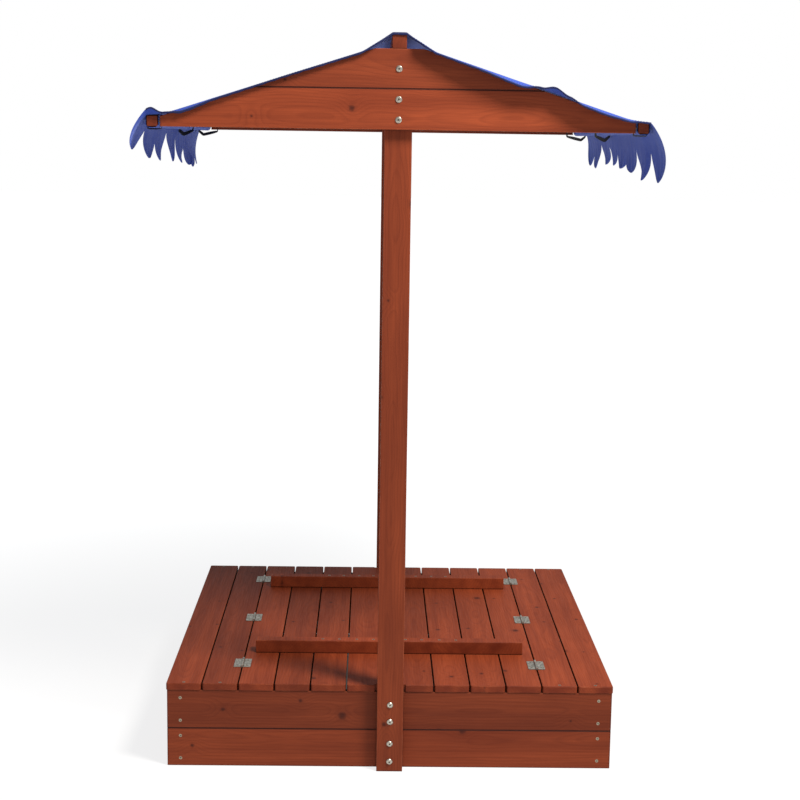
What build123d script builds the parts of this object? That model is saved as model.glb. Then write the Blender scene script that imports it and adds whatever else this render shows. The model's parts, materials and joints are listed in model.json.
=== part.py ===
from build123d import *
import os
from math import hypot

os.makedirs("parts", exist_ok=True)

# Sandbox with a folding bench cover and a canopy on two posts.
# Millimetres. Origin: centre of the footprint on the ground. +X right, +Y back, +Z up.

# ---- driving dimensions -------------------------------------------------------------
# Box
lid_width = 1120.0
lid_depth = 1120.0
lid_overhang = 2.0
board_thickness = 18.0
wall_board_height = 99.0
corner_block_size = 30.0
long_edge_round = 1.5

# Cover: six boards each side of a finger gap
boards_per_half = 6
board_gap = 3.5
finger_gap = 42.0
board_end_round = 5.0
board_edge_round = 2.0
post_notch_width = 78.0
post_notch_depth = 6.0

# Posts, gables and the bars that carry the canopy
post_width = 65.0
post_thickness = 30.0
gable_bottom = 1586.0
gable_height = 186.0
gable_seam_height = 94.5
gable_end_height = 24.0
gable_half_length = 556.0
gable_top_half_width = 57.0
ridge_bar_size = 34.0
rail_size = 25.0
rail_inner_face = 562.0

# Canopy
fabric_thickness = 1.6
canopy_depth = 1280.0
sleeve_slack = 2.0
sleeve_round = 4.0
leaf_count = 8
leaf_slit_width = 80.0
leaf_slit_top = 1572.0
leaf_tip = 1470.0
fringe_outline = [(604.0, 1596.0), (619.0, 1556.0), (616.0, leaf_tip)]
strap_width = 10.0
strap_thickness = 1.5
strap_droop = 9.4
strap_outer_rise = 14.1
strap_inner_rise = 20.7
strap_places = [-560.0, 30.0, 560.0]

# Hinges
hinge_length = 64.0
hinge_leaf_width = 21.5
hinge_leaf_thickness = 1.5
knuckle_radius = 3.0
knuckle_count = 5
knuckle_gap = 0.3
pin_radius = 1.55
pin_clearance = 0.05
hinge_places = [-400.0, 0.0, 400.0]
hinge_screw_spread = 20.0
hinge_screw_inset = 12.5

# Battens on the backrests and cleats under the seats
batten_size = 34.0
batten_outer_end = 354.0
batten_inner_end = 23.0
batten_places = [-295.0, 333.0]
batten_screw_spread = 22.0
cleat_width = 40.0
cleat_thickness = 12.0
cleat_margin = 14.0
cleat_places = [-330.0, 330.0]

# Fasteners: head diameter, shank diameter, length
wood_screw = (8.0, 4.5, 45.0)
batten_screw = (8.0, 4.5, 48.0)
rail_screw = (8.0, 4.5, 60.0)
cleat_screw = (7.0, 3.5, 24.0)
hinge_screw = (6.5, 3.5, 14.0)
screw_tip = 5.0
wall_screw_inset = 20.0
side_screw_shift = 12.0
bolt_head_radius = 7.5
bolt_head_height = 2.8
bolt_shank_radius = 3.0
bolt_length = 40.0
nut_flange = 1.5
nut_sleeve_radius = 4.2
nut_sleeve_length = 14.0
bolt_clearance = 0.1
hex_recess_radius = 2.6
bolt_rim_radius = 5.6
bolt_rim_height = 1.1
hex_recess_floor = 0.7
cross_recess_reach = 0.55
cross_recess_width = 0.14
cross_recess_depth = 0.15
base_bolt_heights = [26.0, 73.0, 130.0, 174.0]
gable_bolt_heights = [1609.0, 1656.0, 1726.0]

# ---- values worked out from them ----------------------------------------------------
wall_x = lid_width / 2 - lid_overhang
wall_y = lid_depth / 2 - lid_overhang
wall_height = 2 * wall_board_height
lid_top = wall_height + board_thickness
inner_x = wall_x - board_thickness
inner_y = wall_y - board_thickness
board_width = (lid_width / 2 - finger_gap / 2 - (boards_per_half - 1) * board_gap) / boards_per_half
board_pitch = board_width + board_gap
seat_hinge_x = lid_width / 2 - 2 * board_pitch + board_gap / 2
back_hinge_x = lid_width / 2 - 4 * board_pitch + board_gap / 2
post_face = wall_y + post_thickness
gable_face = post_face + board_thickness
gable_top = gable_bottom + gable_height
ridge_top = gable_top + ridge_bar_size
rail_outer_face = rail_inner_face + rail_size
rail_top = gable_bottom + rail_size
bolt_grip = post_thickness + board_thickness

nodes = {}


# ---- helpers ------------------------------------------------------------------------
def block(x0, x1, y0, y1, z0, z1):
    """A plain box between two corners."""
    middle = Pos((x0 + x1) / 2, (y0 + y1) / 2, (z0 + z1) / 2)
    return middle * Box(abs(x1 - x0), abs(y1 - y0), abs(z1 - z0))


def eased(shape, radius=long_edge_round):
    """The same board with all its edges rounded."""
    return fillet(shape.edges(), radius)


def band(points, thickness):
    """A strip's outline in the XZ plane: a line, and the same line moved to its left."""
    moved = []
    for i, (x, z) in enumerate(points):
        ahead = points[min(i + 1, len(points) - 1)]
        behind = points[max(i - 1, 0)]
        normals = []
        for a, b in ((behind, (x, z)), ((x, z), ahead)):
            run = hypot(b[0] - a[0], b[1] - a[1])
            if run > 0:
                normals.append(((a[1] - b[1]) / run, (b[0] - a[0]) / run))
        nx = sum(n[0] for n in normals)
        nz = sum(n[1] for n in normals)
        share = 2 * thickness / (nx * nx + nz * nz) * (len(normals) / 2)
        moved.append((x + nx * share, z + nz * share))
    return list(points) + moved[::-1]


def along_y(outline, y0, y1):
    """A solid from an XZ outline, running from y0 to y1."""
    face = make_face(Polyline(*outline, close=True))
    return Pos(0, y1, 0) * extrude(Plane.XZ * face, y1 - y0)


def turned(profile):
    """A solid of revolution about Z from (radius, height) points."""
    face = make_face(Polyline(*profile, close=True))
    return revolve(Plane.XZ * face, Axis.Z)


def facing(x, y, z, direction):
    """The place of a fastener whose head lies at a point and looks along a direction."""
    return Plane(origin=(x, y, z), z_dir=direction)


def screw_body(size):
    """A countersunk screw without its recess, head at z = 0, shank downwards."""
    head, shank, length = size
    cone = (head - shank) / 2
    return turned([(0, 0), (head / 2, 0), (shank / 2, -cone), (shank / 2, screw_tip - length), (0, -length)])


def screw(size):
    """A countersunk screw with a cross recess."""
    reach = size[0] * cross_recess_reach
    slot = size[0] * cross_recess_width
    depth = size[0] * cross_recess_depth
    first = block(-reach / 2, reach / 2, -slot / 2, slot / 2, -depth, depth)
    second = block(-slot / 2, slot / 2, -reach / 2, reach / 2, -depth, depth)
    return screw_body(size) - first - second


def bolt():
    """A low round-head bolt with a hex recess, head's seat at z = 0, shank downwards."""
    body = turned([(0, bolt_head_height), (bolt_rim_radius, bolt_head_height),
                   (bolt_head_radius, bolt_rim_height), (bolt_head_radius, 0), (bolt_shank_radius, 0),
                   (bolt_shank_radius, -bolt_length), (0, -bolt_length)])
    recess = extrude(RegularPolygon(hex_recess_radius, 6), bolt_head_height)
    return body - Pos(0, 0, hex_recess_floor) * recess


def nut():
    """A flanged sleeve nut, placed on the same axis as its bolt, at the far end of the grip."""
    seat = -bolt_grip
    bore = bolt_shank_radius + bolt_clearance / 2
    return turned([(bore, seat + nut_sleeve_length), (nut_sleeve_radius, seat + nut_sleeve_length),
                   (nut_sleeve_radius, seat), (bolt_head_radius, seat), (bolt_head_radius, seat - nut_flange),
                   (bore, seat - nut_flange)])


def bolt_hole():
    """The stepped hole that a bolt and its sleeve nut need in the wood."""
    narrow = bolt_shank_radius + bolt_clearance
    wide = nut_sleeve_radius + bolt_clearance
    step = -bolt_grip + nut_sleeve_length + bolt_clearance
    return turned([(0, 0), (narrow, 0), (narrow, step), (wide, step), (wide, -bolt_grip), (0, -bolt_grip)])


def near(a, b):
    """True where two bounding boxes meet."""
    first = a.bounding_box()
    second = b.bounding_box()
    lows = zip(first.min, second.max)
    highs = zip(second.min, first.max)
    return all(low <= high for low, high in lows) and all(low <= high for low, high in highs)


def drilled(shape, tools):
    """The shape with the holes of every fastener that reaches it."""
    for tool in tools:
        if near(shape, tool):
            shape = shape - tool
    return shape


def spread(shape, places):
    """Copies of a shape at each place."""
    return [place * shape for place in places]


def group(shapes):
    """Separate solids kept as one node."""
    return Compound(children=[Solid(s.solids()[0].wrapped) for s in shapes])


# ---- where the fasteners go ---------------------------------------------------------
def wall_screw_places():
    """Two screws per board at each end of each wall, into the corner blocks."""
    places = []
    block_centre_x = inner_x - corner_block_size / 2
    block_centre_y = inner_y - corner_block_size / 2
    for board in range(2):
        for edge in (wall_screw_inset, wall_board_height - wall_screw_inset):
            z = board * wall_board_height + edge
            inward = side_screw_shift if edge < wall_board_height / 2 else -side_screw_shift
            for side in (-1, 1):
                for end in (-1, 1):
                    places.append(facing(end * block_centre_x, side * wall_y, z, (0, side, 0)))
                    places.append(facing(side * wall_x, end * block_centre_y, z + inward, (side, 0, 0)))
    return places


def ledge_screw_places():
    """One screw at each end of each fixed board, down into the wall's top edge."""
    places = []
    for side in (-1, 1):
        for index in range(2):
            x = side * (lid_width / 2 - index * board_pitch - board_width / 2)
            for end in (-1, 1):
                places.append(facing(x, end * (wall_y - board_thickness / 2), lid_top, (0, 0, 1)))
    return places


def frame_bolt_places():
    """Bolts through the posts into the walls, and through the gables into the posts."""
    places = []
    for side in (-1, 1):
        for z in base_bolt_heights:
            places.append(facing(0, side * post_face, z, (0, side, 0)))
        for z in gable_bolt_heights:
            places.append(facing(0, side * gable_face, z, (0, side, 0)))
    return places


def canopy_frame_screw_places():
    """Screws down through the ridge bar into the posts, and through the rails into the gables' ends."""
    places = []
    for end in (-1, 1):
        places.append(facing(0, end * (wall_y + post_thickness / 2), ridge_top, (0, 0, 1)))
        for side in (-1, 1):
            y = end * (post_face + board_thickness / 2)
            places.append(facing(side * rail_outer_face, y, gable_bottom + rail_size / 2, (side, 0, 0)))
    return places


wall_screw_holes = spread(screw_body(wood_screw), wall_screw_places())
ledge_screw_holes = spread(screw_body(wood_screw), ledge_screw_places())
frame_bolt_holes = spread(bolt_hole(), frame_bolt_places())
canopy_frame_holes = spread(screw_body(rail_screw), canopy_frame_screw_places())


# ---- box ----------------------------------------------------------------------------
def make_walls():
    """Four walls, each two boards high; the side boards stand between the front and rear ones."""
    for level, z0 in (("lower", 0.0), ("upper", wall_board_height)):
        z1 = z0 + wall_board_height
        for name, side in (("front", -1), ("rear", 1)):
            plain = block(-wall_x, wall_x, side * inner_y, side * wall_y, z0, z1)
            nodes[f"{name}_wall_{level}_board"] = plain
        for name, side in (("left", -1), ("right", 1)):
            plain = block(side * inner_x, side * wall_x, -inner_y, inner_y, z0, z1)
            nodes[f"{name}_wall_{level}_board"] = plain
    holes = wall_screw_holes + ledge_screw_holes + frame_bolt_holes
    for name in list(nodes):
        nodes[name] = drilled(eased(nodes[name]), holes)


def make_corner_blocks():
    """Square blocks inside the corners that the wall boards are screwed to."""
    blocks = []
    for side in (-1, 1):
        for end in (-1, 1):
            x = side * (inner_x - corner_block_size)
            y = end * (inner_y - corner_block_size)
            corner = block(x, side * inner_x, y, end * inner_y, 0, wall_height)
            blocks.append(drilled(corner, wall_screw_holes))
    nodes["corner_blocks"] = group(blocks)


# ---- cover --------------------------------------------------------------------------
def cover_board(side, index):
    """One board of the cover, counted inwards from the outer edge."""
    outer = lid_width / 2 - index * board_pitch
    inner = outer - board_width
    plank = block(side * inner, side * outer, -lid_depth / 2, lid_depth / 2, wall_height, lid_top)
    plank = fillet(plank.edges().filter_by(Axis.Z), board_end_round)
    faces = plank.faces().filter_by(Axis.Z)
    plank = fillet(faces.edges(), board_edge_round)
    if index == boards_per_half - 1:
        for end in (-1, 1):
            notch = block(-post_notch_width / 2, post_notch_width / 2,
                          end * (lid_depth / 2 - post_notch_depth), end * lid_depth,
                          wall_height - board_gap, lid_top + board_gap)
            plank = plank - notch
    return plank


def hinge_leaf(knuckles):
    """A hinge leaf on the +X side of an axis along Y, lying knuckle_radius below the axis."""
    low = -knuckle_radius
    high = low + hinge_leaf_thickness
    clear = knuckle_radius + knuckle_gap
    leaf = block(clear, hinge_leaf_width, -hinge_length / 2, hinge_length / 2, low, high)
    leaf = fillet(leaf.edges().filter_by(Axis.Z).sort_by(Axis.X)[-2:], board_edge_round)
    span = hinge_length / knuckle_count
    for number in knuckles:
        y0 = -hinge_length / 2 + number * span
        y1 = y0 + span - knuckle_gap
        tube = Pos(0, (y0 + y1) / 2, 0) * Rot(90, 0, 0) * Cylinder(knuckle_radius, y1 - y0)
        leaf = leaf + block(0, clear + knuckle_gap, y0, y1, low, high) + tube
    bore = Rot(90, 0, 0) * Cylinder(pin_radius + pin_clearance, hinge_length + 2 * knuckle_gap)
    leaf = leaf - bore
    for y in (-hinge_screw_spread, hinge_screw_spread):
        leaf = leaf - Pos(hinge_screw_inset, y, high) * screw_body(hinge_screw)
    return leaf


def hinge_pin():
    """A headless hinge pin along Y."""
    return Rot(90, 0, 0) * Cylinder(pin_radius, hinge_length - knuckle_gap)


def hinge_screws():
    """The two screws of one leaf on the +X side."""
    top = hinge_leaf_thickness - knuckle_radius
    spots = (-hinge_screw_spread, hinge_screw_spread)
    return [Pos(hinge_screw_inset, y, top) * screw(hinge_screw) for y in spots]


def hinge_screw_bodies():
    """The same two screws without their recesses, for drilling the boards."""
    top = hinge_leaf_thickness - knuckle_radius
    spots = (-hinge_screw_spread, hinge_screw_spread)
    return [Pos(hinge_screw_inset, y, top) * screw_body(hinge_screw) for y in spots]


outer_knuckles = range(0, knuckle_count, 2)
inner_knuckles = range(1, knuckle_count, 2)


def row_of_hinges(pieces, x, z, turn, under=False):
    """Copies of a hinge's pieces down the depth; turn swaps the leaf's side, under flips it."""
    placed = []
    for y in hinge_places:
        for piece in pieces:
            shape = piece
            if turn:
                shape = Rot(0, 0, 180) * shape
            if under:
                shape = Rot(0, 180, 0) * shape
            placed.append(Pos(x, y, z) * shape)
    return placed


def make_half(name, side):
    """One half of the cover: a fixed ledge, a seat hinged to it and a backrest hinged to the seat."""
    seat_axis_x = side * seat_hinge_x
    back_axis_x = side * back_hinge_x
    seat_axis_z = lid_top + knuckle_radius
    back_axis_z = wall_height - knuckle_radius
    left = side < 0

    ledge_leaf = row_of_hinges([hinge_leaf(outer_knuckles)], seat_axis_x, seat_axis_z, left)
    ledge_fixings = row_of_hinges(hinge_screws(), seat_axis_x, seat_axis_z, left)
    ledge_bores = row_of_hinges(hinge_screw_bodies(), seat_axis_x, seat_axis_z, left)
    seat_leaf = row_of_hinges([hinge_leaf(inner_knuckles)], seat_axis_x, seat_axis_z, not left)
    seat_fixings = row_of_hinges(hinge_screws(), seat_axis_x, seat_axis_z, not left)
    seat_bores = row_of_hinges(hinge_screw_bodies(), seat_axis_x, seat_axis_z, not left)
    seat_under_leaf = row_of_hinges([hinge_leaf(outer_knuckles)], back_axis_x, back_axis_z, not left, True)
    seat_under_fixings = row_of_hinges(hinge_screws(), back_axis_x, back_axis_z, not left, True)
    seat_under_bores = row_of_hinges(hinge_screw_bodies(), back_axis_x, back_axis_z, not left, True)
    back_leaf = row_of_hinges([hinge_leaf(inner_knuckles)], back_axis_x, back_axis_z, left, True)
    back_fixings = row_of_hinges(hinge_screws(), back_axis_x, back_axis_z, left, True)
    back_bores = row_of_hinges(hinge_screw_bodies(), back_axis_x, back_axis_z, left, True)

    # Cleats join the two seat boards from below.
    cleat_low = wall_height - cleat_thickness
    cleat_x0 = side * (back_hinge_x + board_gap / 2 + cleat_margin)
    cleat_x1 = side * (seat_hinge_x - board_gap / 2 - cleat_margin)
    cleat_spots = []
    for y in cleat_places:
        for index in (2, 3):
            middle = lid_width / 2 - index * board_pitch - board_width / 2
            for offset in (-batten_screw_spread, batten_screw_spread):
                cleat_spots.append(facing(side * (middle + offset), y, cleat_low, (0, 0, -1)))
    cleat_bores = spread(screw_body(cleat_screw), cleat_spots)
    cleats = []
    for y in cleat_places:
        bar = block(cleat_x0, cleat_x1, y - cleat_width / 2, y + cleat_width / 2, cleat_low, wall_height)
        cleats.append(drilled(eased(bar), cleat_bores))

    # Battens join the two backrest boards from above and run on over the seat.
    batten_top = lid_top + batten_size
    batten_spots = []
    for y in batten_places:
        for index in (4, 5):
            middle = lid_width / 2 - index * board_pitch - board_width / 2
            for offset in (-batten_screw_spread, batten_screw_spread):
                batten_spots.append(facing(side * (middle + offset), y, batten_top, (0, 0, 1)))
    batten_bores = spread(screw_body(batten_screw), batten_spots)
    battens = []
    for y in batten_places:
        bar = block(side * batten_inner_end, side * batten_outer_end,
                    y - batten_size / 2, y + batten_size / 2, lid_top, batten_top)
        battens.append(drilled(eased(bar, board_edge_round), batten_bores))

    nodes[f"{name}_ledge_outer_board"] = drilled(cover_board(side, 0), ledge_screw_holes)
    nodes[f"{name}_ledge_inner_board"] = drilled(cover_board(side, 1), ledge_screw_holes + ledge_bores)
    nodes[f"{name}_seat_outer_board"] = drilled(cover_board(side, 2), seat_bores + cleat_bores)
    nodes[f"{name}_seat_inner_board"] = drilled(cover_board(side, 3), seat_under_bores + cleat_bores)
    nodes[f"{name}_back_outer_board"] = drilled(cover_board(side, 4), back_bores + batten_bores)
    nodes[f"{name}_back_inner_board"] = drilled(cover_board(side, 5), batten_bores)
    nodes[f"{name}_seat_cleats"] = group(cleats)
    nodes[f"{name}_back_battens"] = group(battens)
    nodes[f"{name}_ledge_hinge_leaves"] = group(ledge_leaf)
    nodes[f"{name}_ledge_hinge_pins"] = group(row_of_hinges([hinge_pin()], seat_axis_x, seat_axis_z, False))
    nodes[f"{name}_seat_upper_hinge_leaves"] = group(seat_leaf)
    nodes[f"{name}_seat_lower_hinge_leaves"] = group(seat_under_leaf)
    nodes[f"{name}_seat_hinge_pins"] = group(row_of_hinges([hinge_pin()], back_axis_x, back_axis_z, False))
    nodes[f"{name}_back_hinge_leaves"] = group(back_leaf)
    cleat_screws = spread(screw(cleat_screw), cleat_spots)
    nodes[f"{name}_seat_screws"] = group(seat_fixings + seat_under_fixings + cleat_screws)
    nodes[f"{name}_back_screws"] = group(back_fixings + spread(screw(batten_screw), batten_spots))
    return ledge_fixings


# ---- posts, gables, bars ------------------------------------------------------------
def make_posts():
    """One post outside the middle of the front wall and one outside the rear wall."""
    for name, side in (("front", -1), ("rear", 1)):
        post = block(-post_width / 2, post_width / 2, side * wall_y, side * post_face, 0, gable_top)
        nodes[f"{name}_post"] = drilled(eased(post), frame_bolt_holes + canopy_frame_holes)


def make_gables():
    """A gable at each end: a long lower board and a shorter upper board, cut to the roof's slope."""
    slope = (gable_height - gable_end_height) / (gable_half_length - gable_top_half_width)
    seam_half = gable_half_length - (gable_seam_height - gable_end_height) / slope
    seam = gable_bottom + gable_seam_height
    end_top = gable_bottom + gable_end_height
    outlines = {
        "lower": [(-gable_half_length, gable_bottom), (gable_half_length, gable_bottom),
                  (gable_half_length, end_top), (seam_half, seam), (-seam_half, seam),
                  (-gable_half_length, end_top)],
        "upper": [(-seam_half, seam), (seam_half, seam), (gable_top_half_width, gable_top),
                  (-gable_top_half_width, gable_top)],
    }
    for name, side in (("front", -1), ("rear", 1)):
        for level, outline in outlines.items():
            near_face, far_face = sorted((side * post_face, side * gable_face))
            board = along_y(outline, near_face, far_face)
            board = fillet(board.faces().filter_by(Axis.Y).edges(), long_edge_round)
            holes = frame_bolt_holes + canopy_frame_holes
            nodes[f"{name}_gable_{level}_board"] = drilled(board, holes)


def make_bars():
    """The ridge bar on the gables' flat tops and the two eave rails beyond their ends."""
    half = ridge_bar_size / 2
    ridge = block(-half, half, -gable_face, gable_face, gable_top, ridge_top)
    nodes["ridge_bar"] = drilled(eased(ridge, board_edge_round), canopy_frame_holes)
    for name, side in (("left", -1), ("right", 1)):
        rail = block(side * rail_inner_face, side * rail_outer_face, -gable_face, gable_face,
                     gable_bottom, rail_top)
        nodes[f"{name}_eave_rail"] = drilled(eased(rail, board_edge_round), canopy_frame_holes)


# ---- canopy -------------------------------------------------------------------------
def make_canopy():
    """One sheet over the ridge bar and gables with sleeves for the rails, and a sewn-on fringe of leaves."""
    half_ridge = ridge_bar_size / 2
    y0 = -canopy_depth / 2
    y1 = canopy_depth / 2
    sleeve_in = rail_inner_face - sleeve_slack
    sleeve_out = rail_outer_face + sleeve_slack
    sleeve_low = gable_bottom - sleeve_slack
    sleeve_high = rail_top + sleeve_slack
    right_line = [(half_ridge, ridge_top), (gable_top_half_width, gable_top),
                  (rail_inner_face, sleeve_high)]
    left_line = [(-x, z) for x, z in right_line[::-1]]
    sheet = along_y(band(left_line + right_line, fabric_thickness), y0, y1)
    wide = sleeve_out - sleeve_in
    tall = sleeve_high - sleeve_low
    outer = RectangleRounded(wide + 2 * fabric_thickness, tall + 2 * fabric_thickness, sleeve_round)
    inner = RectangleRounded(wide, tall, sleeve_round - fabric_thickness)
    ring = Pos(0, y1, 0) * extrude(Plane.XZ * (outer - inner), canopy_depth)
    line = [(sleeve_out, sleeve_high - fabric_thickness)] + fringe_outline
    fringe = along_y(band(line, fabric_thickness), y0, y1)
    pitch = canopy_depth / leaf_count
    for number in range(1, leaf_count):
        y = y0 + number * pitch
        slit = [(y - leaf_slit_width / 2, leaf_tip - fabric_thickness), (y, leaf_slit_top),
                (y + leaf_slit_width / 2, leaf_tip - fabric_thickness)]
        face = Plane.YZ * make_face(Polyline(*slit, close=True))
        fringe = fringe - Pos(rail_inner_face, 0, 0) * extrude(face, 2 * leaf_slit_width)
    sleeve_middle = Pos((sleeve_in + sleeve_out) / 2, 0, (sleeve_low + sleeve_high) / 2)
    right_sleeve = sleeve_middle * ring
    sleeve_core = sleeve_middle * Pos(0, y1, 0) * extrude(Plane.XZ * outer, canopy_depth)
    canopy = sheet + right_sleeve + mirror(right_sleeve, Plane.YZ)
    nodes["canopy"] = drilled(canopy, canopy_frame_holes)
    right_fringe = max((fringe - sleeve_core).solids(), key=lambda solid: solid.volume)
    nodes["canopy_fringes"] = group([right_fringe, mirror(right_fringe, Plane.YZ)])


def make_straps():
    """Webbing loops that hang round the sleeves, three on each side."""
    inside = rail_inner_face - sleeve_slack - fabric_thickness
    outside = rail_outer_face + sleeve_slack + fabric_thickness
    low = gable_bottom - sleeve_slack - fabric_thickness
    bottom = low - strap_droop
    line = [(outside, low + strap_outer_rise), (outside, low), (outside - strap_droop, bottom),
            (inside + strap_droop, bottom), (inside, low), (inside, low + strap_inner_rise)]
    straps = []
    for y in strap_places:
        loop = along_y(band(line[::-1], -strap_thickness), y - strap_width / 2, y + strap_width / 2)
        straps.append(loop)
        straps.append(mirror(loop, Plane.YZ))
    nodes["canopy_straps"] = group(straps)


# ---- assembly -----------------------------------------------------------------------
make_walls()
make_corner_blocks()
ledge_hinge_fixings = make_half("left", -1) + make_half("right", 1)
make_posts()
make_gables()
make_bars()
make_canopy()
make_straps()
nodes["wall_screws"] = group(spread(screw(wood_screw), wall_screw_places()))
nodes["ledge_screws"] = group(spread(screw(wood_screw), ledge_screw_places()))
nodes["canopy_frame_screws"] = group(spread(screw(rail_screw), canopy_frame_screw_places()))
nodes["ledge_hinge_screws"] = group(ledge_hinge_fixings)
nodes["frame_bolts"] = group(spread(bolt(), frame_bolt_places()))
nodes["frame_nuts"] = group(spread(nut(), frame_bolt_places()))

for name, shape in nodes.items():
    export_step(shape, f"parts/{name}.step")
print(len(nodes), "nodes")
print("seat hinge x", round(seat_hinge_x, 3), "back hinge x", round(back_hinge_x, 3), "lid top", lid_top)
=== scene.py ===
import json
import random
from math import cos, pi, radians, sin

import bmesh
import bpy
from mathutils import Matrix, Vector, noise


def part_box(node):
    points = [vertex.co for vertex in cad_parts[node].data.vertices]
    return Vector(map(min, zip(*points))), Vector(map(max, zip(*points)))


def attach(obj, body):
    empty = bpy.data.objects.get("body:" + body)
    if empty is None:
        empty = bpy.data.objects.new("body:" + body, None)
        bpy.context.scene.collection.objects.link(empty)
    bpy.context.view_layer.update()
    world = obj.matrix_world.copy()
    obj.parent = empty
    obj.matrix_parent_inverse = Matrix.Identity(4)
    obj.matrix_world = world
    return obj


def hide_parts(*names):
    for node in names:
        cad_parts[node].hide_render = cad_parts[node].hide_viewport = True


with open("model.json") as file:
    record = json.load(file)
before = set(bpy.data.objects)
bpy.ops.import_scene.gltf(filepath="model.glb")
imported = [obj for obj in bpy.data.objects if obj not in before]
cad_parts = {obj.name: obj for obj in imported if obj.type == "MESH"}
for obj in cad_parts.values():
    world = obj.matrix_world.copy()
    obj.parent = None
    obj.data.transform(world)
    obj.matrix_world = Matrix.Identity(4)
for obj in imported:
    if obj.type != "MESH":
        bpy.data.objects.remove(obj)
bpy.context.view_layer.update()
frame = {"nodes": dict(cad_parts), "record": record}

# ---- places taken from the frame (metres) ---------------------------------------------
ridge_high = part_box("ridge_bar")[1]
rail_low, rail_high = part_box("right_eave_rail")
gable_low, gable_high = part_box("front_gable_lower_board")
upper_low, upper_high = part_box("front_gable_upper_board")
strap_low, strap_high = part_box("canopy_straps")

gable_face = abs(gable_low.y)
gable_back = abs(gable_high.y)
gable_half = gable_high.x
seam_half = upper_high.x
gable_top = upper_high.z
gable_seam = upper_low.z
ridge_top = ridge_high.z
ridge_half = ridge_high.x
rail_top = rail_high.z
rail_bottom = rail_low.z
rail_outer = rail_high.x
rail_inner = rail_low.x
canopy_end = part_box("canopy")[1].y
gable_end_height = 0.024
roof_slope = (gable_seam - rail_bottom - gable_end_height) / (gable_half - seam_half)

wall_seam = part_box("front_wall_lower_board")[1].z
pit_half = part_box("right_wall_lower_board")[0].x

# ---- fabric sizes (metres) ------------------------------------------------------------
cloth_thickness = 0.0009
hem_thickness = 0.0008
strap_thickness = 0.0015
seam_share = 0.952
leaf_count = 8
leaf_pitch = 2 * canopy_end / leaf_count
leaf_columns = 14
leaf_rows = 18

# ---- camera and light -----------------------------------------------------------------
camera_place = (-0.0571, -4.3883, 1.5619)
camera_yaw = radians(1.0624)
camera_pitch = radians(9.2353)
camera_roll = radians(0.8544)
sensor_width_mm = 36.0
lens_mm = 71.84
view_depth = 60.0
key_direction = Vector((0.42, -0.34, 0.56))
key_distance = 3.0
key_size = 1.0
key_power = 225.0
key_colour = (1.0, 0.965, 0.91)
sky_colour = (0.93, 0.96, 1.0, 1)
sky_strength = 0.42
floor_half = 40.0
floor_grey = (0.19, 0.21)
glow_reach = (0.8, 3.2)
glow_strength = (0.80, 1.0)


# ---- small helpers --------------------------------------------------------------------
def smooth(t):
    """An S-curve from 0 to 1."""
    t = min(max(t, 0.0), 1.0)
    return t * t * (3 - 2 * t)


def between(points, x):
    """A smooth value at x, from (x, value) points in rising order."""
    if x <= points[0][0]:
        return points[0][1]
    for (xa, va), (xb, vb) in zip(points, points[1:]):
        if x <= xb:
            return va + (vb - va) * smooth((x - xa) / (xb - xa))
    return points[-1][1]


def along(path, t):
    """A point at share t of a path's length, path being a list of Vectors."""
    runs = [(b - a).length for a, b in zip(path, path[1:])]
    left = t * sum(runs)
    for (a, b), run in zip(zip(path, path[1:]), runs):
        if left <= run:
            return a.lerp(b, left / run)
        left -= run
    return path[-1].copy()


def new_object(name, bm):
    """A smooth-shaded mesh object from a bmesh, linked to the scene."""
    mesh = bpy.data.meshes.new(name)
    bm.to_mesh(mesh)
    bm.free()
    for face in mesh.polygons:
        face.use_smooth = True
    piece = bpy.data.objects.new(name, mesh)
    bpy.context.collection.objects.link(piece)
    return piece


def grid_faces(bm, rows):
    """Quads between equally long rows of vertices."""
    for first, second in zip(rows, rows[1:]):
        for a, b, c, d in zip(first, first[1:], second[1:], second):
            bm.faces.new((a, b, c, d))


def modifier(piece, kind, **settings):
    """Adds a modifier with its settings."""
    made = piece.modifiers.new(kind.title(), kind)
    for key, value in settings.items():
        setattr(made, key, value)


def thicken(piece, thickness):
    """Gives a sheet its thickness, evenly to both sides, and rounds it once."""
    modifier(piece, "SOLIDIFY", thickness=thickness, offset=0.0)
    modifier(piece, "SUBSURF", levels=1, render_levels=1)


# ---- shader helpers -------------------------------------------------------------------
def scaled(colour, share):
    """A colour with each channel multiplied by a share."""
    return tuple(channel * share for channel in colour)


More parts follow.
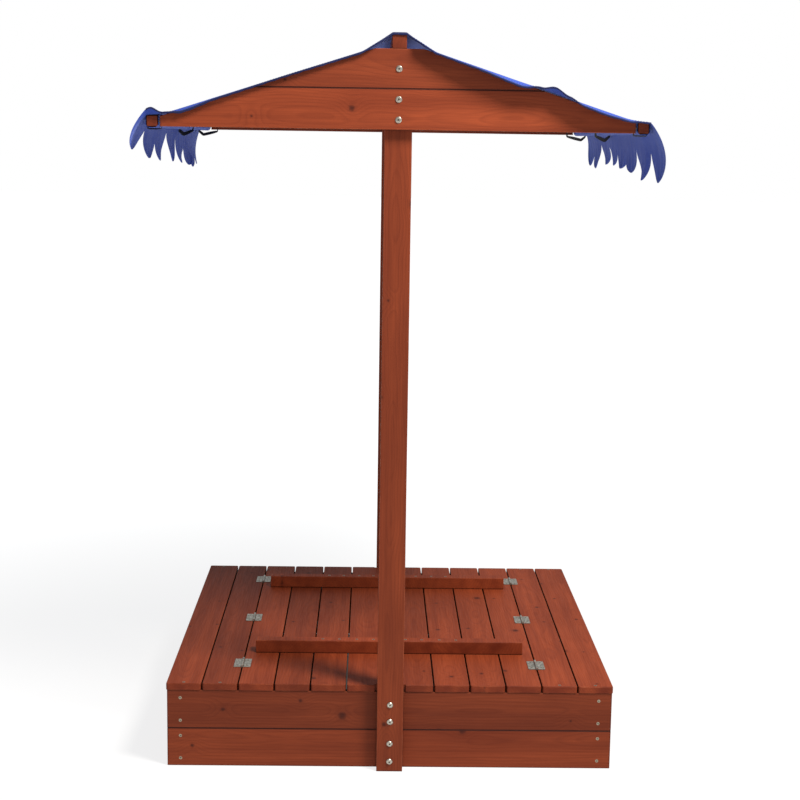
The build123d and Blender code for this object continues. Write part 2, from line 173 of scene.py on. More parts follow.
class Shader:
    """A material and short ways to add and join its nodes."""

    def __init__(self, name):
        self.material = bpy.data.materials.new(name)
        self.material.use_nodes = True
        self.tree = self.material.node_tree
        self.main = self.tree.nodes["Principled BSDF"]

    def node(self, kind, **settings):
        made = self.tree.nodes.new(kind)
        for key, value in settings.items():
            setattr(made, key, value)
        return made

    def join(self, source, target):
        self.tree.links.new(source, target)

    def put(self, socket, value):
        """Links a socket, or sets a number or colour on it."""
        if hasattr(value, "links"):
            self.join(value, socket)
        elif isinstance(value, tuple):
            socket.default_value = (*value, 1.0)
        else:
            socket.default_value = value

    def math(self, operation, a, b=0.0, c=0.0):
        made = self.node("ShaderNodeMath", operation=operation)
        for socket, value in zip(made.inputs, (a, b, c)):
            self.put(socket, value)
        return made.outputs[0]

    def times(self, a, b):
        return self.math("MULTIPLY", a, b)

    def plus(self, a, b):
        return self.math("ADD", a, b)

    def minus(self, a, b):
        return self.math("SUBTRACT", a, b)

    def combine(self, x, y, z):
        made = self.node("ShaderNodeCombineXYZ")
        for socket, value in zip(made.inputs, (x, y, z)):
            self.put(socket, value)
        return made.outputs[0]

    def split(self, vector):
        made = self.node("ShaderNodeSeparateXYZ")
        self.join(vector, made.inputs[0])
        return made.outputs[0], made.outputs[1], made.outputs[2]

    def first_channel(self, colour):
        made = self.node("ShaderNodeSeparateColor")
        self.join(colour, made.inputs[0])
        return made.outputs[0]

    def noise(self, vector, scale, detail=3.0, rough=0.5):
        made = self.node("ShaderNodeTexNoise")
        self.join(vector, made.inputs["Vector"])
        made.inputs["Scale"].default_value = scale
        made.inputs["Detail"].default_value = detail
        made.inputs["Roughness"].default_value = rough
        return made.outputs["Fac"]

    def voronoi(self, vector, scale, dimensions="3D"):
        made = self.node("ShaderNodeTexVoronoi", voronoi_dimensions=dimensions)
        self.join(vector, made.inputs["Vector"])
        made.inputs["Scale"].default_value = scale
        return made

    def ramp(self, fac, *stops):
        """A ramp through (place, value) stops, a value being a grey level or a colour."""
        made = self.node("ShaderNodeValToRGB")
        self.join(fac, made.inputs[0])
        bar = made.color_ramp.elements
        while len(bar) < len(stops):
            bar.new(0.5)
        for element, (place, value) in zip(bar, stops):
            colour = value if isinstance(value, tuple) else (value, value, value)
            element.position = place
            element.color = (*colour, 1.0)
        return made.outputs[0]

    def mix(self, fac, a, b):
        made = self.node("ShaderNodeMix", data_type="RGBA")
        self.put(made.inputs[0], fac)
        self.put(made.inputs[6], a)
        self.put(made.inputs[7], b)
        return made.outputs[2]

    def crevice_shade(self, reach, dark, clear):
        """Painted shade: 1 deep in a crevice and 0 in the open, from the dark and clear stops, found by
        ambient occlusion.
        """
        made = self.node("ShaderNodeAmbientOcclusion", samples=6)
        made.inputs["Distance"].default_value = reach
        return self.ramp(made.outputs["AO"], dark, clear)

    def bump(self, height, strength, distance):
        made = self.node("ShaderNodeBump")
        made.inputs["Strength"].default_value = strength
        made.inputs["Distance"].default_value = distance
        self.join(height, made.inputs["Height"])
        self.join(made.outputs[0], self.main.inputs["Normal"])

    def object_place(self):
        return self.node("ShaderNodeTexCoord").outputs["Object"]

    def set_main(self, **values):
        """Sets or links the main shader's sockets, named with _ for each space."""
        for key, value in values.items():
            self.put(self.main.inputs[key.replace("_", " ")], value)


# ---- wood -----------------------------------------------------------------------------
light_wood = (0.262, 0.047, 0.0135)
dark_wood = (0.098, 0.0125, 0.0032)
# Dark brown of the knots, also used for painted shade in seams and joints.
knot_and_shade_wood = (0.036, 0.0055, 0.0025)
# Pale edge colour: wear, and a painted highlight on lit rounded edges.
worn_highlit_wood = (0.31, 0.080, 0.032)
ring_width = 0.0062
ring_wander = 0.085
ripple_depth = 0.004
knots_per_metre = (5.2, 5.6)
knot_field = 0.14
knot_bulge = 0.016
fibres_per_metre = 420.0
streaks_per_metre = 38.0
edge_width = 0.0022
end_width = 0.0035
# Width of the painted shade line at the seam between boards.
seam_shade_width = 0.0027
least_depth = 0.018
euler = 2.718


def knot_pattern(s, length, across, shift):
    """Knots of differing sizes: how near the closest one is, and how strongly it bends the rings."""
    lengthwise, crosswise = knots_per_metre
    knot_map = s.combine(s.math("MULTIPLY_ADD", length, lengthwise, shift),
                         s.math("MULTIPLY_ADD", across, crosswise, shift), 0.0)
    knots = s.voronoi(knot_map, 1.0, "2D")
    size = s.math("MULTIPLY_ADD", s.first_channel(knots.outputs["Color"]), 1.8, 0.75)
    ragged = s.math("MULTIPLY_ADD", s.noise(s.object_place(), 130.0, detail=2.0), 0.030, -0.015)
    reach = s.times(s.plus(knots.outputs["Distance"], ragged), size)
    near = s.math("DIVIDE", knots.outputs["Distance"], knot_field)
    pull = s.math("POWER", euler, s.times(s.times(near, near), -1.0))
    return reach, pull


def ring_pattern(s, length, across, thick, shift, pull, width, depth, rng):
    """Yearly rings about a pith beside the board, wandering along it and bending round its knots."""
    flow_map = s.combine(s.plus(length, shift), s.times(across, 2.0), thick)
    flow = s.noise(flow_map, rng.uniform(1.7, 2.6), detail=2.0)
    ripple = s.noise(s.combine(s.math("MULTIPLY_ADD", length, 0.45, shift), across, thick), 24.0, detail=2.0)
    pith_across = rng.uniform(-0.30, 0.30) * width
    pith_thick = -rng.uniform(0.9, 2.4) * max(depth, least_depth) * rng.choice((-1, 1))
    bend = s.times(s.minus(flow, 0.5), ring_wander)
    u = s.plus(s.minus(across, pith_across), s.times(bend, 0.45))
    v = s.plus(s.minus(thick, pith_thick), bend)
    reach = s.math("SQRT", s.plus(s.times(u, u), s.times(v, v)))
    reach = s.plus(reach, s.times(s.minus(ripple, 0.5), ripple_depth))
    reach = s.plus(reach, s.times(pull, knot_bulge))
    phase = s.math("FRACT", s.math("DIVIDE", reach, ring_width * rng.uniform(0.85, 1.25)))
    return s.ramp(phase, (0.0, 0.12), (0.45, 0.30), (0.82, 0.95), (1.0, 0.10))


def worn_and_highlit_edges(s, colour, sizes, places, tone):
    """Pale long edges, partly wear and partly a painted highlight where the rounded edge catches the light,
    and dark blotches on a board's ends, from the board's own box.
    """
    gaps = [s.minus(size / 2, s.math("ABSOLUTE", place)) for size, place in zip(sizes, places)]
    low_pair = s.math("MINIMUM", gaps[0], gaps[1])
    high_pair = s.math("MAXIMUM", gaps[0], gaps[1])
    edge = s.math("MAXIMUM", low_pair, s.math("MINIMUM", high_pair, gaps[2]))
    wander = s.noise(s.object_place(), 55.0, detail=3.0)
    worn_highlit = s.math("MAXIMUM", s.minus(1.0, s.math("DIVIDE", edge, edge_width)), 0.0)
    colour = s.mix(s.times(worn_highlit, s.ramp(wander, (0.35, 0.0), (0.65, 0.8))), colour, scaled(worn_highlit_wood, tone))
    end_face = s.math("LESS_THAN", gaps[0], end_width)
    blotch = s.ramp(s.noise(s.object_place(), 16.0), (0.40, 0.20), (0.68, 0.85))
    return s.mix(s.times(end_face, blotch), colour, scaled(dark_wood, tone))


def seam_shade_line(s, colour, height, seam):
    """Painted shade: the dark line where two boards of a wall or gable meet, standing for the shaded gap
    between them.
    """
    away = s.math("ABSOLUTE", s.minus(height, seam))
    line = s.minus(1.0, s.math("DIVIDE", away, seam_shade_width))
    line = s.math("MINIMUM", s.times(s.math("MAXIMUM", line, 0.0), 2.2), 0.94)
    return s.mix(line, colour, knot_and_shade_wood)


def wood_material(name, low, high, rng, tone, seam=None):
    """Red-brown stained softwood: rings about a pith, fibres, knots, blotchy stain, worn edges with a painted
    highlight, and painted shade in seams and joints.
    """
    s = Shader("wood_" + name)
    size = high - low
    centre = (high + low) / 2
    order = sorted(range(3), key=lambda axis: -size[axis])
    width = size[order[1]]
    depth = size[order[2]]
    axes = s.split(s.object_place())
    length, across, thick = [s.minus(axes[axis], centre[axis]) for axis in order]
    shift = rng.uniform(0, 40)

    def stretched(along_grain, cross_grain, detail, rough=0.5, flat=False):
        """Noise drawn out along the grain."""
        deep = thick if flat else s.times(thick, cross_grain)
        grain = s.math("MULTIPLY_ADD", length, along_grain, shift)
        place = s.combine(grain, s.times(across, cross_grain), deep)
        return s.noise(place, 1.0, detail=detail, rough=rough)

    knot_reach, knot_pull = knot_pattern(s, length, across, shift)
    ring = ring_pattern(s, length, across, thick, shift, knot_pull, width, depth, rng)
    fibre = stretched(9.0, fibres_per_metre, 3.0, 0.6)
    streak = stretched(1.4, streaks_per_metre, 2.0)
    blotch = stretched(3.0, 9.0, 4.0, 0.6, flat=True)

    dark = scaled(dark_wood, tone)
    colour = s.mix(s.times(ring, 0.30), scaled(light_wood, tone), dark)
    colour = s.mix(s.ramp(streak, (0.36, 0.0), (0.70, 0.45)), colour, dark)
    colour = s.mix(s.ramp(blotch, (0.40, 0.0), (0.75, 0.40)), colour, dark)
    colour = s.mix(s.ramp(fibre, (0.30, 0.30), (0.62, 0.0)), colour, dark)
    knot_face = s.ramp(knot_reach, (0.012, 0.85), (0.036, 0.55), (0.048, 0.18), (0.085, 0.0))
    colour = s.mix(knot_face, colour, knot_and_shade_wood)
    # Pale edges: wear plus a painted highlight on the lit rounded edges.
    colour = worn_and_highlit_edges(s, colour, [size[axis] for axis in order], (length, across, thick), tone)
    # Painted shade along the seam between a wall's or gable's two boards.
    if seam is not None:
        colour = seam_shade_line(s, colour, axes[2], seam)
    # Painted shade in the joints between boards and other crevices, from ambient occlusion, in the dark knot
    # colour.
    joint_shade = s.crevice_shade(0.007, (0.30, 0.85), (0.80, 0.0))
    height = s.plus(s.times(fibre, 0.55), s.times(ring, -0.35))
    s.set_main(Base_Color=s.mix(joint_shade, colour, knot_and_shade_wood),
               Roughness=s.ramp(fibre, (0.25, 0.66), (0.75, 0.50)),
               Specular_IOR_Level=0.17)
    s.bump(s.plus(height, s.times(knot_face, -0.6)), 0.35, 0.0007)
    return s.material


# ---- fabric, webbing, thread and metal ------------------------------------------------
thread_pitch = 0.0022
deep_shadow = (0.008, 0.012, 0.07)
cloth_sheen = (0.45, 0.55, 1.0)
rib_pitch = 0.0014
rib_fall_pitch = 0.0020
grime = (0.16, 0.13, 0.10)
# The colour of the painted shade in metal recesses.
recess_shade = (0.03, 0.02, 0.014)


def fabric_material(name, colour, faded):
    """Plain-woven polyester: fine over-and-under threads, faint slubs and soft sheen."""
    s = Shader(name)
    place = s.object_place()
    x, y, z = s.split(place)
    thread = 2 * pi / thread_pitch
    warp = s.math("SINE", s.times(y, thread))
    weft = s.math("SINE", s.times(s.minus(z, s.math("ABSOLUTE", x)), thread))
    weave = s.times(warp, weft)
    slub = s.noise(s.combine(x, s.times(y, 14.0), z), 26.0)
    cloud = s.noise(place, 5.5, detail=4.0)
    base = s.mix(s.ramp(cloud, (0.35, 0.0), (0.70, 1.0)), colour, faded)
    base = s.mix(s.ramp(slub, (0.45, 0.0), (0.75, 0.35)), base, scaled(colour, 0.55))
    s.set_main(Base_Color=s.mix(s.ramp(weave, (0.0, 0.16), (0.6, 0.0)), base, deep_shadow),
               Roughness=s.ramp(slub, (0.3, 0.80), (0.7, 0.68)),
               Specular_IOR_Level=0.25, Sheen_Weight=0.18, Sheen_Roughness=0.45, Sheen_Tint=cloth_sheen)
    s.bump(s.plus(s.times(weave, 0.5), slub), 0.35, 0.0004)
    return s.material


def webbing_material():
    """Black ribbed webbing."""
    s = Shader("black_webbing")
    place = s.object_place()
    x, y, z = s.split(place)
    across = s.math("SINE", s.times(y, 2 * pi / rib_pitch))
    down = s.math("SINE", s.times(s.plus(z, x), 2 * pi / rib_fall_pitch))
    rib = s.times(across, down)
    fuzz = s.noise(place, 900.0)
    s.set_main(Base_Color=s.ramp(s.plus(s.times(rib, 0.3), fuzz), (0.3, 0.006), (0.9, 0.035)),
               Roughness=s.ramp(fuzz, (0.3, 0.72), (0.7, 0.88)))
    s.bump(rib, 0.5, 0.0004)
    return s.material


def thread_material():
    """Twisted navy sewing thread."""
    s = Shader("navy_thread")
    place = s.object_place()
    twist = s.node("ShaderNodeTexWave", bands_direction="DIAGONAL")
    s.join(place, twist.inputs["Vector"])
    twist.inputs["Scale"].default_value = 900.0
    fuzz = s.noise(place, 2400.0)
    s.set_main(Base_Color=s.ramp(fuzz, (0.3, (0.012, 0.020, 0.12)), (0.7, (0.030, 0.045, 0.22))),
               Roughness=s.ramp(fuzz, (0.3, 0.55), (0.7, 0.75)))
    s.bump(twist.outputs["Fac"], 0.4, 0.0001)
    return s.material


def metal_material(name, bright, dull, rough, patches_per_metre):
    """Zinc-plated steel: crystalline patches, fine scratches, dull grime and painted shade in its recesses.
    """
    s = Shader(name)
    place = s.object_place()
    cells = s.voronoi(place, patches_per_metre)
    cloud = s.noise(place, 120.0, detail=4.0)
    scratch_map = s.node("ShaderNodeMapping")
    scratch_map.inputs["Scale"].default_value = (2600.0, 90.0, 900.0)
    s.join(place, scratch_map.inputs["Vector"])
    scratch = s.noise(scratch_map.outputs[0], 1.0, detail=2.0)
    colour = s.mix(s.first_channel(cells.outputs["Color"]), bright, dull)
    colour = s.mix(s.ramp(cloud, (0.50, 0.0), (0.75, 0.55)), colour, grime)
    wear = s.plus(s.times(scratch, 0.5), s.times(cloud, 0.5))
    # Painted shade darkens the recesses, such as the bolts' hex sockets, found by ambient occlusion.
    s.set_main(Base_Color=s.mix(s.crevice_shade(0.004, (0.35, 0.9), (0.85, 0.0)), colour, recess_shade),
               Metallic=0.85,
               Roughness=s.ramp(wear, (0.3, rough - 0.08), (0.7, rough + 0.12)))
    s.bump(scratch, 0.15, 0.0002)
    return s.material


# ---- canopy ---------------------------------------------------------------------------
# Front hem, by x: how far it hangs below the gable's edge, and how far it stands proud of
# the gable's face. The rear hem has the same values with x mirrored.
hem_drop = [(-0.600, -0.006), (-0.575, -0.017), (-0.548, -0.002), (-0.500, 0.009), (-0.420, 0.003),
            (-0.250, 0.001), (-0.085, 0.002), (0.0, 0.0015), (0.085, 0.003), (0.170, 0.005), (0.283, 0.011),
            (0.330, -0.002), (0.362, -0.013), (0.395, -0.003), (0.430, 0.007), (0.480, 0.009), (0.535, 0.006),
            (0.565, 0.001), (0.600, 0.003)]
hem_proud = [(-0.600, 0.034), (-0.588, 0.020), (-0.560, 0.010), (-0.300, 0.008), (-0.060, 0.006),
             (-0.020, 0.001), (0.020, 0.001), (0.060, 0.020), (0.200, 0.030), (0.600, 0.034)]

# Each side's leaves from front to rear: how far a tip is outside the rail's outer face and
# below the rail's top, how far the top of each slit between two leaves is below the rail's
# top, and how far each leaf bows out.
leaf_tips = {
    1: [(0.034, 0.143), (0.022, 0.141), (0.020, 0.125), (0.018, 0.117), (0.020, 0.111), (0.026, 0.111),
        (0.018, 0.125), (0.024, 0.119)],
    -1: [(0.044, 0.081), (0.022, 0.103), (0.016, 0.111), (0.006, 0.115), (0.000, 0.121), (-0.002, 0.129),
         (0.004, 0.137), (0.012, 0.131)],
}
slit_drops = {1: [0.073, 0.065, 0.075, 0.063, 0.049, 0.055, 0.066],
              -1: [0.037, 0.066, 0.037, 0.051, 0.081, 0.077, 0.063]}
end_slit_drop = 0.02
leaf_bow = {1: [0.020, 0.010, 0.008, 0.010, 0.006, 0.010, 0.012, 0.014],
            -1: [0.010, 0.012, 0.008, 0.010, 0.006, 0.010, 0.012, 0.014]}

roof_lift = 0.0018
touch_down = 0.085
roof_sag = 0.011
hem_clearance = 0.0015
edge_ripple = 0.0012


def gable_edge(x):
    """Height of the gable's sloped top edge."""
    return min(gable_top, gable_seam + (seam_half - abs(x)) * roof_slope)


def roof_line(side):
    """The roof's line in the XZ plane from the ridge to the rail's outer top corner."""
    low_x = gable_half - 0.02
    return [Vector((0, ridge_top + roof_lift)),
            Vector((side * ridge_half, ridge_top + roof_lift)),
            Vector((side * (ridge_half + 0.0035), ridge_top - 0.0014)),
            Vector((side * touch_down, gable_edge(touch_down) + roof_lift)),
            Vector((side * low_x, gable_edge(low_x) + roof_lift + 0.001)),
            Vector((side * (rail_inner + 0.004), rail_top + 0.0022)),
            Vector((side * (rail_outer - 0.001), rail_top + 0.0018))]


def roof_point(line, t, y):
    """A point of the roof at share t of its line and at depth y."""
    flat = along(line, t)
    x, z = flat.x, flat.y
    span = smooth((abs(x) - touch_down) / 0.12) * smooth((rail_inner - abs(x)) / 0.10)
    middle = 1 - min(abs(y) / gable_back, 1.0) ** 4
    z -= roof_sag * span * middle
    wrinkle = noise.noise(Vector((x * 7.0, y * 5.0, 1.7))) * 0.0045
    wrinkle += noise.noise(Vector((x * 2.5, y * 16.0, 6.1))) * 0.0030
    z += wrinkle * span * middle
    beyond = max(abs(y) - gable_face, 0.0) / (canopy_end - gable_face)
    if beyond > 0:
        mirror_x = x if y < 0 else -x
        z -= between(hem_drop, mirror_x) * beyond ** 1.4
        reach = gable_face + hem_clearance + between(hem_proud, mirror_x) * beyond
        y = reach if y > 0 else -reach
    return Vector((x, y, z))


def blend_leaves(values, y):
    """A value at depth y, eased between the leaves' middles."""
    place = (y + canopy_end) / leaf_pitch - 0.5
    place = min(max(place, 0.0), leaf_count - 1.0)
    first = min(int(place), leaf_count - 2)
    return values[first] + (values[first + 1] - values[first]) * smooth(place - first)


def leaf_line(side, leaf, root, c, slit_z, shape):
    """Points down one leaf from a root point, c being its place across the leaf, from -1 to 1."""
    outs = [out for out, drop in leaf_tips[side]]
    heights = [rail_top - drop for out, drop in leaf_tips[side]]
    tip_out = blend_leaves(outs, root.y)
    tip_z = blend_leaves(heights, root.y)
    bow = blend_leaves(leaf_bow[side], root.y)
    middle = -canopy_end + (leaf + 0.5) * leaf_pitch
    outer_edge = leaf in (0, leaf_count - 1) and (c < 0) == (leaf == 0)
    line = [root]
    for row in range(1, leaf_rows + 1):
        fall = row / leaf_rows
        z = root.z + (tip_z - root.z) * fall
        free = smooth(max((slit_z - z) / (slit_z - heights[leaf]), 0.0)) if z < slit_z else 0.0
        own = min(max((slit_z - z) / (slit_z - tip_z), 0.0), 1.0)
        z += (heights[leaf] - tip_z) * own
        width = max(1 - own ** 2.3, 0.0) ** shape["fat"]
        out = tip_out + (outs[leaf] - tip_out) * own
        x = abs(root.x) + out * fall + bow * 4 * fall * (1 - fall)
        y = middle + (root.y - middle) * width + shape["sway"] * own * own
        if outer_edge:
            y = root.y + (y - root.y) * own
        x += (shape["curl"] * c * c + shape["twist"] * c) * free * width
        x += edge_ripple * sin(pi * (c * 3 + leaf)) * fall
        line.append(Vector((side * x, y, z)))
    return line


def fringe_leaves(side, roots, rng):
    """The fringe on one side: for each leaf, its columns of points from the rail down."""
    slits = [rail_top - drop for drop in (end_slit_drop, *slit_drops[side], end_slit_drop)]
    leaves = []
    for leaf in range(leaf_count):
        shape = {"curl": rng.uniform(-0.010, 0.012), "twist": rng.uniform(-0.010, 0.010),
                 "sway": rng.uniform(-0.014, 0.014), "fat": rng.uniform(0.58, 0.80)}
        columns = []
        for column in range(leaf_columns + 1):
            c = 2 * column / leaf_columns - 1
            root = roots[leaf * leaf_columns + column]
            slit_z = slits[leaf] if c < 0 else slits[leaf + 1]
            columns.append(leaf_line(side, leaf, root, c, slit_z, shape))
        leaves.append(columns)
    return leaves


def make_canopy(depths):
    """One sheet: roof rows across, with a fringe of leaves cut into both long edges."""
    bm = bmesh.new()
    steps = 58
    weld = 0.00005
    lines = {side: roof_line(side) for side in (-1, 1)}
    rows = []
    for step in range(-steps, steps + 1):
        line = lines[1 if step >= 0 else -1]
        rows.append([roof_point(line, abs(step) / steps, y) for y in depths])
    grid_faces(bm, [[bm.verts.new(point) for point in row] for row in rows])
    rng = random.Random(11)
    for side, roots in ((-1, rows[0]), (1, rows[-1])):
        for columns in fringe_leaves(side, roots, rng):
            grid_faces(bm, [[bm.verts.new(point) for point in line] for line in columns])
    bmesh.ops.remove_doubles(bm, verts=bm.verts, dist=weld)
    bmesh.ops.recalc_face_normals(bm, faces=bm.faces)
    canopy = new_object("canopy_cloth", bm)
    thicken(canopy, cloth_thickness)
    return canopy


def make_hems():
    """Turned hems, double cloth sewn along the front and rear edges."""
    bm = bmesh.new()
    steps = 150
    fold_width = 0.008
    for end in (-1, 1):
        rows = []
        for step in range(-steps, steps + 1):
            line = roof_line(1 if step >= 0 else -1)
            share = abs(step) / steps
            point = roof_point(line, share, end * canopy_end)
            before = roof_point(line, share, end * (canopy_end - fold_width))
            inward = (before - point).normalized()
            drop = 0.0030 + 0.0006 * sin(step * 0.9)
            outline = [(0.0, 0.0004, 0.0007), (0.0, 0.0012, -0.0006), (0.0, 0.0009, -drop),
                       (0.0, -0.0006, -drop - 0.0004)]
            turned = [point + inward * 0.0025 + Vector((0, 0, 0.0006))]
            turned += [point + Vector((x, end * y, z)) for x, y, z in outline]
            rows.append([bm.verts.new(place) for place in turned])
        grid_faces(bm, rows)
    hems = new_object("canopy_hems", bm)
    thicken(hems, hem_thickness)
    return hems


def make_sleeves(depths):
    """The sewn tunnels that hold the eave rails, open at both ends."""
    bm = bmesh.new()
    slack = 0.0022
    corner = 0.004
    overhang = 0.008
    flare = 0.002
    steps = 24
    outline = [(rail_outer + slack, rail_top - 0.001), (rail_outer + slack + 0.0004, rail_bottom + corner),
               (rail_outer - 0.002, rail_bottom - slack), (rail_inner + 0.003, rail_bottom - slack),
               (rail_inner - slack, rail_bottom + corner), (rail_inner - slack, rail_top + 0.0012)]
    path = [Vector(point) for point in outline]
    for side in (-1, 1):
        rows = []
        for y in depths:
            if abs(y) > gable_face + overhang:
                continue
            end_flare = flare * smooth((abs(y) - gable_face) / overhang)
            row = []
            for step in range(steps + 1):
                flat = along(path, step / steps)
                sag = 0.0016 * noise.noise(Vector((y * 9.0, side * 3.0, step * 0.2)))
                low = smooth((rail_top - flat.y) / 0.02)
                row.append(bm.verts.new((side * flat.x, y, flat.y - (end_flare + abs(sag) * 0.4) * low)))
            rows.append(row)
        grid_faces(bm, rows)
    sleeves = new_object("canopy_sleeves", bm)
    thicken(sleeves, cloth_thickness)
    return sleeves


def make_stitches():
    """Thread stitches along the hems and along the seams that close the sleeves."""
    bm = bmesh.new()
    half_length = 0.0016
    half_width = 0.00040
    rise = 0.0011
    spacing = 0.0062
    hem_inset = 0.0072
    rows = []
    for side in (-1, 1):
        line = roof_line(side)
        count = int(rail_outer / spacing)
        for end in (-1, 1):
            depth = end * (canopy_end - hem_inset)
            rows.append([roof_point(line, k / count, depth) for k in range(1, count)])
        count = int(2 * gable_face / spacing)
        depths = [-gable_face + 2 * gable_face * k / count for k in range(count)]
        rows.append([roof_point(line, seam_share, depth) for depth in depths])
    for row in rows:
        for before, after in zip(row, row[1:]):
            run = (after - before).normalized()
            across = run.cross(Vector((0, 0, 1))).normalized()
            normal = across.cross(run)
            axes = Matrix((run * half_length, across * half_width, normal * half_width))
            place = Matrix.Translation((before + after) / 2 + normal * rise)
            turned = place @ axes.transposed().to_4x4()
            bmesh.ops.create_icosphere(bm, subdivisions=1, radius=1.0, matrix=turned)
    return new_object("canopy_stitches", bm)


def strap_outline(drop, inward):
    """A strap's path round a sleeve's underside, in x and z for the right side."""
    outside = rail_outer + 0.0044
    inside = rail_inner - 0.0044 - inward
    low = rail_bottom - 0.0042
    return [Vector(point) for point in (
        (outside, low + 0.016), (outside, low + 0.006), (outside - 0.002, low - 0.001),
        (outside - 0.014, low - drop), (inside + 0.001, low - 0.001), (inside, low + 0.006),
        (inside, low + 0.012))]


def make_straps():
    """Black webbing loops round the sleeves: tight at the front, slack and half turned further back."""
    bm = bmesh.new()
    half_width = 0.0055
    steps = 36
    look = 0.03
    full_turn = 1.1
    # For each loop: its depth, how far it drops, how far its inner end stands in, and its twist.
    loops = [(strap_low.y + half_width, 0.0015, 0.0, 0.2), (0.050, 0.012, 0.006, 1.0),
             (strap_high.y - half_width, 0.011, 0.024, 0.9)]
    for y, drop, inward, turn in loops:
        path = strap_outline(drop, inward)
        for side in (-1, 1):
            rows = []
            for step in range(steps + 1):
                t = step / steps
                flat = along(path, t)
                ahead = along(path, min(t + look, 1.0)) - along(path, max(t - look, 0.0))
                tangent = Vector((ahead.x, 0, ahead.y)).normalized()
                normal = tangent.cross(Vector((0, 1, 0)))
                angle = turn * full_turn * sin(pi * t) * side
                wide = Vector((0, cos(angle), 0)) + normal * sin(angle)
                middle = Vector((flat.x, y, flat.y))
                points = [middle + wide * half_width * share for share in (-1.0, -0.5, 0.0, 0.5, 1.0)]
                rows.append([bm.verts.new((side * point.x, point.y, point.z)) for point in points])
            grid_faces(bm, rows)
    straps = new_object("rail_straps", bm)
    thicken(straps, strap_thickness)
    return straps


# ---- studio ---------------------------------------------------------------------------
def make_camera():
    """A long lens a little left of the middle, turned slightly right, down and clockwise."""
    forward = Vector((sin(camera_yaw) * cos(camera_pitch), cos(camera_yaw) * cos(camera_pitch),
                      -sin(camera_pitch)))
    level = Vector((cos(camera_yaw), -sin(camera_yaw), 0.0))
    above = level.cross(forward)
    right = cos(camera_roll) * level + sin(camera_roll) * above
    up = -sin(camera_roll) * level + cos(camera_roll) * above
    data = bpy.data.cameras.new("camera")
    data.sensor_width = sensor_width_mm
    data.lens = lens_mm
    data.clip_end = view_depth
    camera = bpy.data.objects.new("camera", data)
    turn = Matrix((right, up, -forward)).transposed().to_4x4()
    camera.matrix_world = Matrix.Translation(camera_place) @ turn
    bpy.context.collection.objects.link(camera)
    bpy.context.scene.camera = camera


def make_key_light():
    """A large round light above the front right, aimed at the front gable."""
    target = Vector((0, -gable_face, gable_seam))
    place = target + key_direction.normalized() * key_distance
    data = bpy.data.lights.new("key", "AREA")
    data.shape = "DISK"
    data.size = key_size
    data.energy = key_power
    data.color = key_colour
    lamp = bpy.data.objects.new("key", data)
    lamp.location = place
    lamp.rotation_euler = (target - place).to_track_quat("-Z", "Y").to_euler()
    bpy.context.collection.objects.link(lamp)


def make_floor():
    """A pale floor that glows up to white further out, but not inside the sandbox."""
    bm = bmesh.new()
    bmesh.ops.create_grid(bm, x_segments=24, y_segments=24, size=floor_half)
    floor = new_object("floor", bm)
    s = Shader("pale_floor")
    place = s.object_place()
    distance = s.node("ShaderNodeVectorMath", operation="LENGTH")
    s.join(place, distance.inputs[0])
    glow = s.node("ShaderNodeMapRange", interpolation_type="SMOOTHSTEP")
    s.join(distance.outputs["Value"], glow.inputs["Value"])
    for name, value in zip(("From Min", "From Max", "To Min", "To Max"), glow_reach + glow_strength):
        glow.inputs[name].default_value = value
    x, y = s.split(place)[:2]
    outside = s.math("MAXIMUM", s.math("GREATER_THAN", s.math("ABSOLUTE", x), pit_half),
                     s.math("GREATER_THAN", s.math("ABSOLUTE", y), pit_half))
    s.set_main(Base_Color=s.ramp(s.noise(place, 0.8), (0.0, floor_grey[0]), (1.0, floor_grey[1])),
               Roughness=0.9, Specular_IOR_Level=0.05, Emission_Color=(1, 1, 1),
               Emission_Strength=s.times(glow.outputs["Result"], outside))
    floor.data.materials.append(s.material)


def make_world():
    """A white surround, which lights the object with a dimmer, cooler sky."""
    world = bpy.data.worlds.new("studio")
    world.use_nodes = True
    tree = world.node_tree
    lit = tree.nodes["Background"]
    lit.inputs[0].default_value = sky_colour
    lit.inputs[1].default_value = sky_strength
    seen = tree.nodes.new("ShaderNodeBackground")
    seen.inputs[0].default_value = (1, 1, 1, 1)
    chooser = tree.nodes.new("ShaderNodeMixShader")
    ray = tree.nodes.new("ShaderNodeLightPath")
    tree.links.new(ray.outputs["Is Camera Ray"], chooser.inputs[0])
    tree.links.new(lit.outputs[0], chooser.inputs[1])
    tree.links.new(seen.outputs[0], chooser.inputs[2])
    tree.links.new(chooser.outputs[0], tree.nodes["World Output"].inputs["Surface"])
    bpy.context.scene.world = world
    bpy.context.scene.view_settings.view_transform = "Standard"


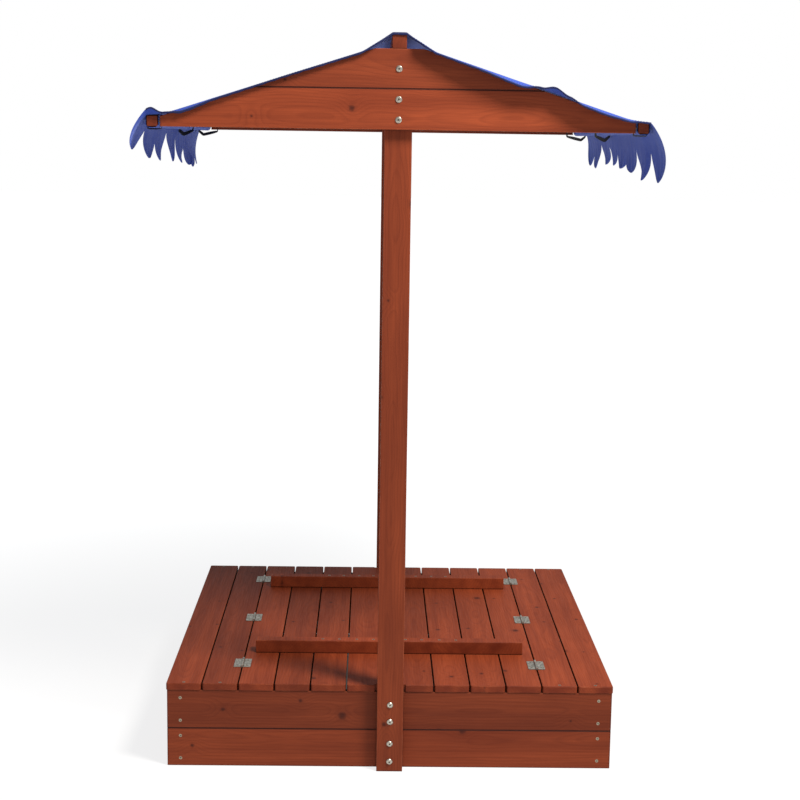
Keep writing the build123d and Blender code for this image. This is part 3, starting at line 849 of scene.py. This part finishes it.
# ---- dress the frame ------------------------------------------------------------------
# How much lighter or darker than the rest a board is whose node's name has these words.
board_tones = {"gable_upper": 0.82, "wall_upper": 0.90, "battens": 1.22, "seat": 1.10, "back_inner": 1.08,
               "back_outer": 1.12, "ledge": 1.12, "post": 1.04}


def dress_frame():
    """Gives every CAD node that stays its own detailed material."""
    zinc = metal_material("bright_zinc", (0.60, 0.56, 0.47), (0.34, 0.31, 0.26), 0.30, 500.0)
    screw = metal_material("zinc_screws", (0.44, 0.38, 0.28), (0.26, 0.22, 0.16), 0.42, 900.0)
    hinge = metal_material("galvanised", (0.68, 0.65, 0.56), (0.27, 0.25, 0.20), 0.42, 240.0)
    metals = {"zinc_bolts": zinc, "screw_steel": screw, "hinge_steel": hinge}
    seams = {"_wall_": wall_seam, "_gable_": gable_seam}
    rng = random.Random(3)
    for part in frame["record"]["subparts"]:
        node = part["node"]
        slot = part["material_slot"]
        if slot == "stained_wood":
            low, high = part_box(node)
            tone = rng.uniform(0.84, 1.10)
            for words, share in board_tones.items():
                tone *= share if words in node else 1.0
            seam = next((height for words, height in seams.items() if words in node), None)
            material = wood_material(node, low, high, rng, tone, seam)
        elif slot in metals:
            material = metals[slot]
        else:
            continue
        mesh = frame["nodes"][node].data
        mesh.materials.clear()
        mesh.materials.append(material)


make_camera()
make_floor()
make_world()
make_key_light()
dress_frame()

column_count = leaf_count * leaf_columns
column_depths = [-canopy_end + leaf_pitch * step / leaf_columns for step in range(column_count + 1)]
canopy = make_canopy(column_depths)
hems = make_hems()
sleeves = make_sleeves(column_depths)
stitches = make_stitches()
straps = make_straps()
blue_cloth = fabric_material("blue_polyester", (0.021, 0.053, 0.33), (0.034, 0.074, 0.37))
# The hems' far darker blue is painted shade, standing for the doubled cloth that lets no light through and
# the shaded fold at the edge.
hem_shade_cloth = fabric_material("hem_painted_shade", (0.003, 0.006, 0.045), (0.005, 0.009, 0.060))
for piece, slot, material in ((canopy, "canopy_fabric", blue_cloth), (hems, "canopy_fabric", hem_shade_cloth),
                              (sleeves, "canopy_fabric", blue_cloth),
                              (stitches, "canopy_fabric", thread_material()),
                              (straps, "strap_webbing", webbing_material())):
    piece.data.materials.append(material)
    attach(piece, "root")
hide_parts("canopy", "canopy_fringes")
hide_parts("canopy_straps")
